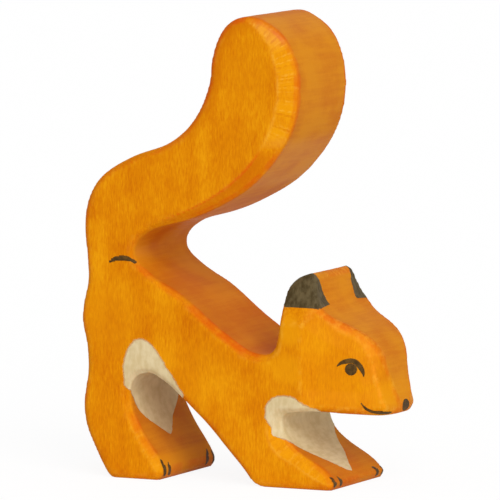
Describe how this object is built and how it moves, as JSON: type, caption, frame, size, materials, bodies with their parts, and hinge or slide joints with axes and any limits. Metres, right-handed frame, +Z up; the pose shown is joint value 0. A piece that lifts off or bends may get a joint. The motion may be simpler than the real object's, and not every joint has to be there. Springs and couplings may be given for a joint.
{
  "type": "squirrel figurine",
  "caption": "Small painted wooden squirrel, sawn from one board, with an arched body, raised tail and lowered head, standing on flat feet.",
  "frame": {"origin": "on the table, under the middle of the figure's overall box", "axes": "+Z up, +X towards the nose, +Y to the figure's left, through the board's thickness"},
  "size_m": [0.0609, 0.0242, 0.0862],
  "materials": {
    "orange_stained_wood": "orange water stain on a pale close-grained wood, sanded, grain showing, satin",
    "cream_paint": "thin cream paint brushed on the wood, matt to satin, soft edges",
    "dark_brown_paint": "thin dark brown paint brushed on the stained wood, satin"
  },
  "bodies": {
    "root": {"wood_body": "orange_stained_wood", "belly_patch": "cream_paint", "chest_patch": "cream_paint", "nose_paint": "dark_brown_paint", "right_ear_paint": "dark_brown_paint", "left_ear_paint": "dark_brown_paint", "right_pupil": "dark_brown_paint", "left_pupil": "dark_brown_paint", "right_eyelid": "dark_brown_paint", "left_eyelid": "dark_brown_paint", "right_mouth_line": "dark_brown_paint", "left_mouth_line": "dark_brown_paint", "right_rump_line": "dark_brown_paint", "left_rump_line": "dark_brown_paint", "right_hind_claws": "dark_brown_paint", "left_hind_claws": "dark_brown_paint", "right_front_claws": "dark_brown_paint", "left_front_claws": "dark_brown_paint"}
  },
  "joints": []
}
